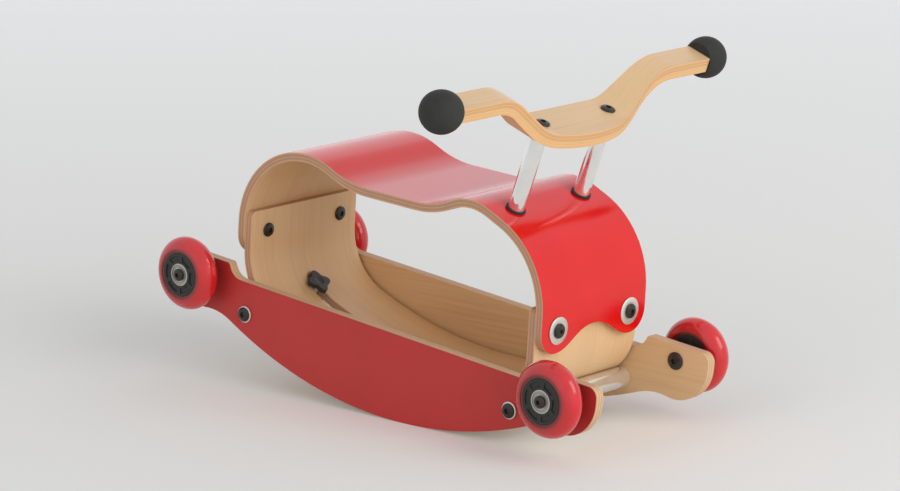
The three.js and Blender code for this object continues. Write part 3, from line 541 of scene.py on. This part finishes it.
def outline_chain(points):
    """Extrudes a vertex from point to point in the XZ plane. The chain stays selected in edit mode."""
    deselect()
    x, z = points[0]
    bpy.ops.mesh.primitive_plane_add(size=0.001, location=(x, 0, z))
    piece = bpy.context.object
    piece.matrix_world = Matrix.Identity(4)
    for vertex in piece.data.vertices:
        vertex.co = (x, 0, z)
    edit(piece)
    bpy.ops.mesh.remove_doubles(threshold=MERGE_DISTANCE)
    bpy.ops.mesh.select_all(action="SELECT")
    for nx, nz in points[1:]:
        bpy.ops.mesh.extrude_region_move(TRANSFORM_OT_translate={"value": (nx - x, 0, nz - z)})
        x, z = nx, nz
    bpy.ops.mesh.select_all(action="SELECT")
    return piece


def turned(name, profile, steps):
    """Spins (radius, height) points round Z into a closed shape."""
    piece = outline_chain(profile)
    piece.name = name
    bpy.ops.mesh.spin(steps=steps, angle=2 * math.pi, center=(0, 0, 0), axis=(0, 0, 1))
    bpy.ops.mesh.select_all(action="SELECT")
    bpy.ops.mesh.remove_doubles(threshold=MERGE_DISTANCE)
    bpy.ops.mesh.normals_make_consistent(inside=False)
    leave_edit()
    return piece


def put(piece, origin, direction, spin=0.0):
    """Stands a piece made round Z on `origin`, with its Z along `direction`, and applies its place."""
    turn = Vector((0, 0, 1)).rotation_difference(direction).to_matrix().to_4x4()
    piece.matrix_world = Matrix.Translation(origin) @ turn @ Matrix.Rotation(spin, 4, "Z")
    activate(piece)
    bpy.ops.object.transform_apply(location=True, rotation=True, scale=True)
    return piece


def cut(piece, tool):
    """Cuts the tool out of the piece, and removes the tool."""
    apply_modifier(piece, "BOOLEAN", object=tool, operation="DIFFERENCE", solver="EXACT")
    bpy.data.objects.remove(tool, do_unlink=True)


def arc(radius, height, angles):
    """Points (radius, height) of an ellipse round the origin."""
    return [(radius * math.cos(a), height * math.sin(a)) for a in angles]


def outwards(side):
    """The direction from the middle of the horse to one of its sides."""
    return Vector((0, 1 if side == "left" else -1, 0))


def leaned(forward):
    """The direction that is leaned forward from upright, on the horse as it lies at rest."""
    lean = forward + sizes().rest_pitch
    return Vector((math.sin(lean), 0, math.cos(lean)))


def upright_normal():
    """The direction in which the uprights of both sheets face forward."""
    return leaned(math.pi / 2 - sizes().upright_lean)


def axis_of(node, direction):
    """Both ends of a turned CAD node, on its own axis."""
    points = [v.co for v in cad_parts[node].data.vertices]
    middle = sum(points, Vector()) / len(points)
    along = [(p - middle).dot(direction) for p in points]
    return middle + min(along) * direction, middle + max(along) * direction


def box_axis(node, side):
    """Both ends of a CAD node that is turned about Y, the one that lies further to `side` last."""
    low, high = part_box(node)
    x, z = (low.x + high.x) / 2, (low.z + high.z) / 2
    right, left = Vector((x, low.y, z)), Vector((x, high.y, z))
    return (right, left) if side == "left" else (left, right)


def finish_with(piece, *names):
    """Gives a piece these finishes, in this order."""
    piece.data.materials.clear()
    for name in names:
        piece.data.materials.append(finish(name))


def done(piece, material, body=BODY, replaces=()):
    """Gives a finished piece its material and its body."""
    if material:
        finish_with(piece, material)
    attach(piece, body)
    if replaces:
        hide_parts(*replaces)


def face_middle(piece, face):
    """A point that surely lies on a face, also where the face has a hole."""
    corners = [piece.data.vertices[i].co for i in face.vertices]
    triangles = tessellate_polygon([corners])
    largest = max(([corners[i] for i in triangle] for triangle in triangles), key=lambda t: area_tri(*t))
    return sum(largest, Vector()) / 3


def outer_skin(piece, thickness, is_outer):
    """The outer faces of a bent sheet: those with the other side of the sheet right behind them."""
    inset, spare = 1e-5, 0.2 * thickness
    tree = BVHTree.FromObject(piece, bpy.context.evaluated_depsgraph_get())
    faces = []
    for face in piece.data.polygons:
        middle = face_middle(piece, face)
        depth = tree.ray_cast(middle - face.normal * inset, -face.normal, 2 * thickness)[3]
        if depth and abs(depth - thickness) < spare and is_outer(middle, face.normal):
            faces.append(tuple(face.vertices))
    return BVHTree.FromPolygons([v.co for v in piece.data.vertices], faces)


def finish_sheet(piece, skin, thickness, looks):
    """Stores each point's depth below the outer skin, and gives the faces their three materials."""
    depth = piece.data.attributes.new("ply_depth", "FLOAT", "POINT")
    depth.data.foreach_set("value", [skin.find_nearest(v.co)[3] for v in piece.data.vertices])
    finish_with(piece, *looks)
    same_way = 0.93
    for face in piece.data.polygons:
        _, across, _, below = skin.find_nearest(face_middle(piece, face))
        level = abs(across.dot(face.normal)) > same_way
        face.material_index = (0 if below < thickness / 2 else 1) if level else 2


def bent_sheet(node, name, thickness, edge_width, looks, slot, is_outer):
    """Adds a copy of a bent CAD sheet with soft edges and the finishes (outer, inner, edge)."""
    piece = copy_of(node, name)
    skin = outer_skin(piece, thickness, is_outer)
    soften(piece, edge_width)
    finish_sheet(piece, skin, thickness, looks)
    done(piece, None, replaces=[node])


def loop_sheet(node, name, looks, slot):
    """Adds the tray or the shell."""
    size = sizes()
    bent_sheet(node, name, size.sheet_thickness, size.sheet_edge, looks, slot, faces_out_of_loop)


def faces_out_of_loop(middle, normal):
    """Whether a face of the loop of tray and shell looks away from the middle of the loop."""
    return normal.dot(middle - Vector((0, 0, sizes().loop_middle))) > 0


def faces_up(middle, normal):
    """Whether a face of the handlebar looks along the posts and away from them."""
    return normal.dot(leaned(sizes().post_lean)) > 0.2


# ---- Pieces ----


def button_head(name, radius, height, socket, depth=0.6):
    """A domed head with a hexagon socket that takes `depth` of its height, standing on Z = 0."""
    rim, foot, fullness = 0.28 * height, 0.05 * height, 0.9
    angles = [math.radians(10 * i) for i in range(1, 8)]
    crown = [(radius * math.cos(a), rim + (height - rim) * math.sin(a) ** fullness) for a in angles]
    base = [(0, 0), (radius * 0.96, 0), (radius, foot), (radius, rim)]
    piece = turned(name, [*base, *crown, (radius * math.cos(angles[-1]), height), (0, height)], steps=48)
    deselect()
    middle = (0, 0, height * (1.5 - depth))
    bpy.ops.mesh.primitive_cylinder_add(vertices=6, radius=socket, depth=height, location=middle)
    cut(piece, bpy.context.object)
    smooth(piece, 32)
    return piece


def bolt_head(name, dome, top, direction, spin, replaces=()):
    """Adds a blackened head with the sizes of `dome`, turned by `spin`, with its top at `top`."""
    piece = put(button_head(name, *dome), top - direction * dome[1], direction, spin)
    done(piece, "black_steel", replaces=replaces)


def flat_washer(name, inner, outer, height, edge=0.0002):
    """A washer with chamfered edges, standing on Z = 0."""
    face = [(inner, edge), (inner + edge, 0), (outer - edge, 0), (outer, edge)]
    piece = turned(name, both_faces(face, height), steps=72)
    smooth(piece, 50)
    return piece


def both_faces(face, height):
    """The closed profile of a ring with the same `face`, given from one edge to the other, on both ends."""
    return [*face, *[(r, height - z) for r, z in reversed(face)], face[0]]


class PieceOperator:
    """What every operator here shares."""

    bl_options = {"REGISTER", "UNDO"}


class ROCKING_OT_stage(PieceOperator, bpy.types.Operator):
    """Adds the floor, the soft studio light and the camera"""

    bl_idname = "rocking.stage"
    bl_label = "Stage"

    def execute(self, context):
        stage = context.scene.rocking_horse_stage
        context.scene.view_settings.view_transform = "Standard"
        deselect()
        bpy.ops.object.camera_add(location=stage.camera_place, rotation=stage.camera_turn)
        camera = context.object
        camera.data.sensor_width = 36
        camera.data.lens = stage.camera_lens
        camera.data.clip_end = 100
        context.scene.camera = camera
        self.floor(stage)
        self.sky(context, stage)
        self.softbox(stage)
        for which in ("front", "side", "back"):
            self.wide_light(which, stage)
        return {"FINISHED"}

    def lamp(self, name, kind, place, aim, energy):
        """Adds a lamp of that kind that looks from `place` to `aim`."""
        deselect()
        bpy.ops.object.light_add(type=kind, location=place)
        light = bpy.context.object
        light.name = name
        light.data.energy = energy
        light.rotation_euler = (Vector(aim) - Vector(place)).to_track_quat("-Z", "Y").to_euler()
        return light

    def softbox(self, stage):
        """The main light, a lamp with a face as large as a window."""
        light = self.lamp("Key softbox", "AREA", stage.key_place, stage.key_aim, stage.key_power)
        light.data.shape = "RECTANGLE"
        light.data.size, light.data.size_y = stage.key_size

    def wide_light(self, which, stage):
        """Soft light that is even over the whole floor. Only the one behind is mirrored."""
        source, strength = getattr(stage, f"{which}_source"), getattr(stage, f"{which}_strength")
        light = self.lamp(f"{which.title()} light", "SUN", source, (0, 0, 0), strength)
        light.data.angle = stage.light_spread
        light.visible_glossy = which == "back"

    def floor(self, stage):
        deselect()
        bpy.ops.mesh.primitive_circle_add(vertices=96, radius=stage.floor_radius, fill_type="NGON")
        floor = bpy.context.object
        floor.name = "Floor"
        made = Nodes("Pale floor")
        distance = made.add("ShaderNodeVectorMath", operation="LENGTH")
        made.link(made.coordinates, distance.inputs[0])
        spread = made.math("DIVIDE", distance.outputs["Value"], stage.floor_spread)
        made.colour_from(made.ramp(spread, (0.0, stage.floor_colour), (1.0, stage.far_colour)))
        glow = made.ramp(spread, (0.0, stage.near_glow), (1.0, stage.far_glow))
        made.value("Emission Color", stage.far_colour)
        made.link(made.times(made.seen(), glow), made.shader.inputs["Emission Strength"])
        made.value("Roughness", 0.85)
        made.value("Specular IOR Level", 0.15)
        floor.data.materials.append(made.material)

    def sky(self, context, stage):
        world = bpy.data.worlds.new("Studio")
        context.scene.world = world
        world.use_nodes = True
        made = Tree(world.node_tree)
        background = made.tree.nodes["Background"]
        background.inputs["Color"].default_value = (*stage.sky_colour, 1.0)
        strength = made.between(made.seen(), stage.sky_strength, stage.shown_sky)
        made.link(strength, background.inputs["Strength"])


class ROCKING_OT_side_panels(PieceOperator, bpy.types.Operator):
    """Adds both side panels, painted outside and bare inside"""

    bl_idname = "rocking.side_panels"
    bl_label = "Side panels"

    def execute(self, context):
        margin = 0.0003
        for side in SIDES:
            node = f"side_panel_{side}"
            inner, outer = sorted(abs(corner.y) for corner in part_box(node))
            piece = copy_of(node, f"rocker_panel_{side}")
            soften(piece, sizes().panel_edge, split=False)
            finish_with(piece, "panel_paint", "birch_panel", "panel_edge")
            for face in piece.data.polygons:
                across = abs(face.center.y)
                face.material_index = 0 if across > outer - margin else 1 if across < inner + margin else 2
            done(piece, None, replaces=[node])
        return {"FINISHED"}


class ROCKING_OT_tray(PieceOperator, bpy.types.Operator):
    """Adds the bare birch tray with its slot"""

    bl_idname = "rocking.tray"
    bl_label = "Tray"

    def execute(self, context):
        looks = ("birch_sheet", "birch_sheet", "sheet_edge")
        loop_sheet("tray", "ply_tray", looks, "birch_ply")
        return {"FINISHED"}


class ROCKING_OT_seat_shell(PieceOperator, bpy.types.Operator):
    """Adds the seat shell, lacquered outside and bare inside"""

    bl_idname = "rocking.seat_shell"
    bl_label = "Seat shell"

    def execute(self, context):
        looks = ("saddle_lacquer", "birch_sheet", "sheet_edge")
        loop_sheet("seat_shell", "saddle_sheet", looks, "red_lacquer")
        return {"FINISHED"}


class ROCKING_OT_handlebar(PieceOperator, bpy.types.Operator):
    """Adds the bent handlebar"""

    bl_idname = "rocking.handlebar"
    bl_label = "Handlebar"

    def execute(self, context):
        size = sizes()
        looks = ("birch_bar", "birch_bar", "bar_edge")
        widths = (size.bar_thickness, size.bar_edge)
        bent_sheet("handlebar", "ply_handlebar", *widths, looks, "birch_ply", faces_up)
        return {"FINISHED"}


class ROCKING_OT_grips(PieceOperator, bpy.types.Operator):
    """Adds the ball grips with their mouths round the handlebar"""

    bl_idname = "rocking.grips"
    bl_label = "Ball grips"

    def execute(self, context):
        band = 0.0015
        profile = self.profile()
        for side in SIDES:
            out = outwards(side)
            points = [v.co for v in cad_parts[f"grip_{side}"].data.vertices]
            centre = max(p.dot(out) for p in points) - sizes().grip[0]
            equator = [p for p in points if abs(p.dot(out) - centre) < band]
            middle = sum(equator, Vector()) / len(equator)
            middle.y = centre * out.y
            piece = turned(f"ball_grip_{side}", profile, steps=72)
            smooth(piece, 50)
            done(put(piece, middle, out), "rubber", replaces=[f"grip_{side}"])
        return {"FINISHED"}

    def profile(self):
        """From the mouth to the far pole. The half towards the handlebar is drawn out a little."""
        radius, mouth, neck = sizes().grip
        edge, near_steps, far_steps = 0.0004, 14, 22
        reach = neck / math.sqrt(1 - (mouth / radius) ** 2)
        start = math.asin(neck / reach)
        face = [(0, edge - neck), (mouth - 3 * edge, edge - neck), (mouth - edge, -neck)]
        near = arc(radius, reach, [start * (i / near_steps - 1) for i in range(near_steps)])
        far = arc(radius, radius, [math.pi / 2 * i / far_steps for i in range(far_steps)])
        return [*face, *near, *far, (0, radius)]


class ROCKING_OT_posts(PieceOperator, bpy.types.Operator):
    """Adds the chromed posts, the rubber rings at their feet and the bolts through them"""

    bl_idname = "rocking.posts"
    bl_label = "Posts"

    def execute(self, context):
        size = sizes()
        up = leaned(size.post_lean)
        radius, edge = size.post_radius, 0.0006
        for side in SIDES:
            foot, top = axis_of(f"post_{side}", up)
            foot.y = top.y = sum(corner.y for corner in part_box(f"post_{side}")) / 2
            height = (top - foot).length
            bare = height - edge
            profile = [(0, edge), (radius, edge), (radius, bare), (radius - edge, height), (0, height)]
            post = turned(f"chrome_post_{side}", profile, steps=96)
            smooth(post, 40)
            done(put(post, foot, up), "chrome", replaces=[f"post_{side}"])
            self.ring(side)
            top = axis_of(f"handlebar_bolt_{side}", up)[1]
            bolt_head(f"bar_bolt_{side}", size.button, top, up, 0.3, [f"handlebar_bolt_{side}"])
            base = copy_of(f"post_base_bolt_{side}", f"post_foot_bolt_{side}")
            soften(base, width=0.0003, segments=2)
            done(base, "black_steel", replaces=[f"post_base_bolt_{side}"])
        return {"FINISHED"}

    def ring(self, side):
        size = sizes()
        piece = copy_of(f"post_ring_{side}", f"foot_ring_{side}")
        low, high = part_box(f"post_ring_{side}")
        edit(piece)
        bpy.ops.transform.resize(value=(size.ring_share,) * 3, center_override=(low + high) / 2)
        leave_edit()
        soften(piece, width=0.0008, segments=4, sharper_than=50.0)
        done(piece, "rubber", replaces=[f"post_ring_{side}"])


class ROCKING_OT_cross_tubes(PieceOperator, bpy.types.Operator):
    """Adds the two cross tubes between the panels"""

    bl_idname = "rocking.cross_tubes"
    bl_label = "Cross tubes"

    def execute(self, context):
        radius, bore = sizes().tube
        edge = 0.0004
        for end in ENDS:
            right, left = box_axis(f"cross_tube_{end}", "left")
            profile = both_faces([(bore, 0), (radius - edge, 0), (radius, edge)], left.y - right.y)
            tube = turned(f"chrome_tube_{end}", profile, steps=96)
            smooth(tube, 40)
            done(put(tube, right, outwards("left")), "satin_tube", replaces=[f"cross_tube_{end}"])
        return {"FINISHED"}


class ROCKING_OT_panel_bolts(PieceOperator, bpy.types.Operator):
    """Adds the button-head bolts and the washers on the side panels"""

    bl_idname = "rocking.panel_bolts"
    bl_label = "Panel bolts"

    def execute(self, context):
        size = sizes()
        depth = size.button[1] + size.washer[2]
        for end, side in CORNERS:
            out = outwards(side)
            top = box_axis(f"tube_bolt_{end}_{side}", side)[1]
            spin = 0.4 if end == "front" else 0.9
            bolt_head(f"panel_bolt_{end}_{side}", size.button, top, out, spin, [f"tube_bolt_{end}_{side}"])
            washer = put(flat_washer(f"panel_washer_{end}_{side}", *size.washer), top - out * depth, out)
            done(washer, "steel")
        return {"FINISHED"}


class ROCKING_OT_joint_bolts(PieceOperator, bpy.types.Operator):
    """Adds the bolts of the rear joint"""

    bl_idname = "rocking.joint_bolts"
    bl_label = "Rear joint bolts"

    def execute(self, context):
        size = sizes()
        normal = upright_normal()
        for side in SIDES:
            back, front = axis_of(f"rear_joint_bolt_{side}", normal)
            bolt_head(f"joint_bolt_{side}", size.button, front, normal, 0.5, [f"rear_joint_bolt_{side}"])
            bolt_head(f"joint_nut_{side}", size.button, back, -normal, 0.2)
        return {"FINISHED"}


class ROCKING_OT_eyes(PieceOperator, bpy.types.Operator):
    """Adds the eyes: wide washers with a domed bolt in front and a blind nut behind"""

    bl_idname = "rocking.eyes"
    bl_label = "Eyes"

    def execute(self, context):
        size = sizes()
        normal = upright_normal()
        radius, height, socket = size.button
        pupil = (radius, height, socket * size.pupil_socket)
        for side in SIDES:
            front = axis_of(f"eye_bolt_{side}", normal)[1]
            bolt_head(f"eye_pupil_{side}", pupil, front, normal, 0.2, [f"eye_bolt_{side}"])
            low, high = axis_of(f"eye_washer_{side}", normal)
            white = flat_washer(f"eye_white_{side}", *size.eye, (high - low).length, edge=0.0005)
            done(put(white, low, normal), "steel", replaces=[f"eye_washer_{side}"])
            low, high = axis_of(f"eye_nut_{side}", normal)
            nut = button_head(f"eye_blind_nut_{side}", radius, (high - low).length, socket, depth=0.3)
            done(put(nut, high, -normal), "black_steel", replaces=[f"eye_nut_{side}"])
        return {"FINISHED"}


class ROCKING_OT_clamp(PieceOperator, bpy.types.Operator):
    """Adds the star knob, its washer and its stud"""

    bl_idname = "rocking.clamp"
    bl_label = "Clamp"

    def execute(self, context):
        up = leaned(sizes().clamp_lean)
        knob = copy_of("star_knob", "clamp_knob")
        top = axis_of("star_knob", up)[1]
        soften(knob, width=0.0021, segments=6, sharper_than=35.0)
        radius, depth = sizes().dish
        curve = (radius ** 2 + depth ** 2) / (2 * depth)
        deselect()
        bpy.ops.mesh.primitive_uv_sphere_add(segments=96, ring_count=96, radius=curve)
        cut(knob, put(bpy.context.object, top + up * (curve - depth), up))
        smooth(knob, 35.0)
        done(knob, "knob", "knob", ["star_knob"])
        washer = copy_of("clamp_washer", "clamp_plate")
        soften(washer, width=0.0002, segments=2)
        done(washer, "steel", "washer", ["clamp_washer"])
        stud = copy_of("clamp_stud", "clamp_rod")
        soften(stud, width=0.0004, segments=2)
        done(stud, "steel", replaces=["clamp_stud"])
        return {"FINISHED"}


class ROCKING_OT_wheels(PieceOperator, bpy.types.Operator):
    """Adds tyres, cores and bearings"""

    bl_idname = "rocking.wheels"
    bl_label = "Wheels"

    def execute(self, context):
        tyre, web, bearing = self.tyre(), self.web(), self.bearing()
        depth = sizes().web[2]
        for end, side in CORNERS:
            name, out = f"{end}_{side}", outwards(side)
            body = f"wheel_{name}"
            face = box_axis(f"tyre_{name}", side)[0]
            rubber = put(duplicate(tyre, f"wheel_tyre_{name}"), face, out)
            done(rubber, None, body, [f"tyre_{name}"])
            core = copy_of(f"wheel_core_{name}", f"wheel_hub_{name}")
            soften(core, width=0.0005, segments=2)
            done(core, "core", body, [f"wheel_core_{name}"])
            disc = put(duplicate(web, f"wheel_web_{name}"), face + out * depth, out)
            done(disc, "core", body)
            for which in ("inner", "outer"):
                node = f"{which}_bearing_{name}"
                ring = duplicate(bearing, f"ball_bearing_{which}_{name}")
                done(put(ring, box_axis(node, side)[0], out), None, body, [node])
        for pattern in (tyre, web, bearing):
            bpy.data.objects.remove(pattern)
        return {"FINISHED"}

    def tyre(self):
        """A cast tyre with a rounded tread, rounded shoulders and a small lip round the core."""
        radius, width, bore = sizes().tyre
        flat, lip = sizes().rim
        half, edge, steps, fullness = width / 2, 0.0002, 32, 0.95
        shoulder = bore + flat
        span = radius - shoulder
        crown = []
        for i in range(1, steps):
            turn = math.pi * (i / steps - 0.5)
            rise, reach = (abs(wave(turn)) ** (1 / fullness) for wave in (math.cos, math.sin))
            crown.append((shoulder + span * rise, half + half * math.copysign(reach, turn)))
        face = [(bore, lip), (shoulder - 2 * edge, lip), (shoulder - edge, edge / 2), (shoulder, 0.0)]
        back = [(r, width - z) for r, z in reversed(face)]
        piece = turned("wheel_tyre", [*face, *crown, *back, face[0]], steps=96)
        smooth(piece, 42)
        share = piece.data.attributes.new("wheel_radius", "FLOAT", "POINT")
        radii = [math.hypot(*v.co.xy) for v in piece.data.vertices]
        share.data.foreach_set("value", [max(0.0, (r - shoulder) / span) for r in radii])
        finish_with(piece, "tyre")
        return piece

    def web(self):
        """The web of a wheel core, behind its windows on both faces."""
        _, width, tyre_bore = sizes().tyre
        bore, gap, depth = sizes().web
        return flat_washer("wheel_web", bore, tyre_bore - gap, width - 2 * depth)

    def bearing(self):
        """A ball bearing: two rings with a sunk shield between them."""
        bore, radius, width = sizes().bearing
        inner, outer, sunk = sizes().shield
        edge = 0.0002
        face = [(radius, edge), (radius - edge, 0), (outer + edge, 0), (outer, sunk)]
        face += [(inner, sunk), (inner - edge, 0), (bore + edge, 0), (bore, edge)]
        piece = turned("ball_bearing", both_faces(face, width), steps=64)
        smooth(piece, 35)
        finish_with(piece, "ring_steel", "shield")
        for part in piece.data.polygons:
            on_shield = inner < math.hypot(*part.center.xy) < outer and abs(part.normal.z) > 0.9
            part.material_index = 1 if on_shield else 0
        return piece


class ROCKING_OT_axles(PieceOperator, bpy.types.Operator):
    """Adds axle sleeves, axle screws and spacers"""

    bl_idname = "rocking.axles"
    bl_label = "Axles"

    def execute(self, context):
        size = sizes()
        radius, reach, inset = size.barrel
        rod = [(0, 0), (radius, 0), (radius, reach), (0, reach)]
        for end, side in CORNERS:
            name, out = f"{end}_{side}", outwards(side)
            top = box_axis(f"axle_sleeve_{name}", side)[0]
            bolt_head(f"axle_head_{name}", size.axle_head, top, -out, 0.35, [f"axle_sleeve_{name}"])
            barrel = turned(f"axle_barrel_{name}", rod, steps=40)
            smooth(barrel)
            done(put(barrel, top + out * inset, out), "steel")
            tip = box_axis(f"axle_screw_{name}", side)[1]
            bolt_head(f"axle_cap_{name}", size.axle_cap, tip, out, 0.7, [f"axle_screw_{name}"])
            near, far = box_axis(f"wheel_spacer_{name}", side)
            spacer = flat_washer(f"axle_spacer_{name}", *size.spacer, (far - near).length)
            done(put(spacer, near, out), "steel", replaces=[f"wheel_spacer_{name}"])
        return {"FINISHED"}


class ROCKING_PT_pieces(bpy.types.Panel):
    """Lists the operators and the settings of the rocking horse"""

    bl_idname = "ROCKING_PT_pieces"
    bl_label = "Rocking Horse"
    bl_space_type = "VIEW_3D"
    bl_region_type = "UI"
    bl_category = "Rocking Horse"

    def draw(self, context):
        for operator in OPERATORS:
            self.layout.operator(operator.bl_idname)
        for name, group in GROUPS.items():
            box = self.layout.box()
            for key in group.__annotations__:
                box.prop(getattr(context.scene, name), key)


OPERATORS = (
    ROCKING_OT_stage,
    ROCKING_OT_side_panels,
    ROCKING_OT_tray,
    ROCKING_OT_seat_shell,
    ROCKING_OT_handlebar,
    ROCKING_OT_grips,
    ROCKING_OT_posts,
    ROCKING_OT_cross_tubes,
    ROCKING_OT_panel_bolts,
    ROCKING_OT_joint_bolts,
    ROCKING_OT_eyes,
    ROCKING_OT_clamp,
    ROCKING_OT_wheels,
    ROCKING_OT_axles,
)
GROUPS = {
    "rocking_horse_sizes": RockingHorseSizes,
    "rocking_horse_colours": RockingHorseColours,
    "rocking_horse_stage": RockingHorseStage,
}
CLASSES = (*GROUPS.values(), *OPERATORS, ROCKING_PT_pieces)


def register():
    for made in CLASSES:
        bpy.utils.register_class(made)
    for name, group in GROUPS.items():
        setattr(bpy.types.Scene, name, bpy.props.PointerProperty(type=group))


def unregister():
    for name in GROUPS:
        delattr(bpy.types.Scene, name)
    for made in reversed(CLASSES):
        bpy.utils.unregister_class(made)


def main():
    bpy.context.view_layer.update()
    register()
    for operator in OPERATORS:
        group, name = operator.bl_idname.split(".")
        getattr(getattr(bpy.ops, group), name)()
    deselect()


if __name__ == "__main__":
    main()
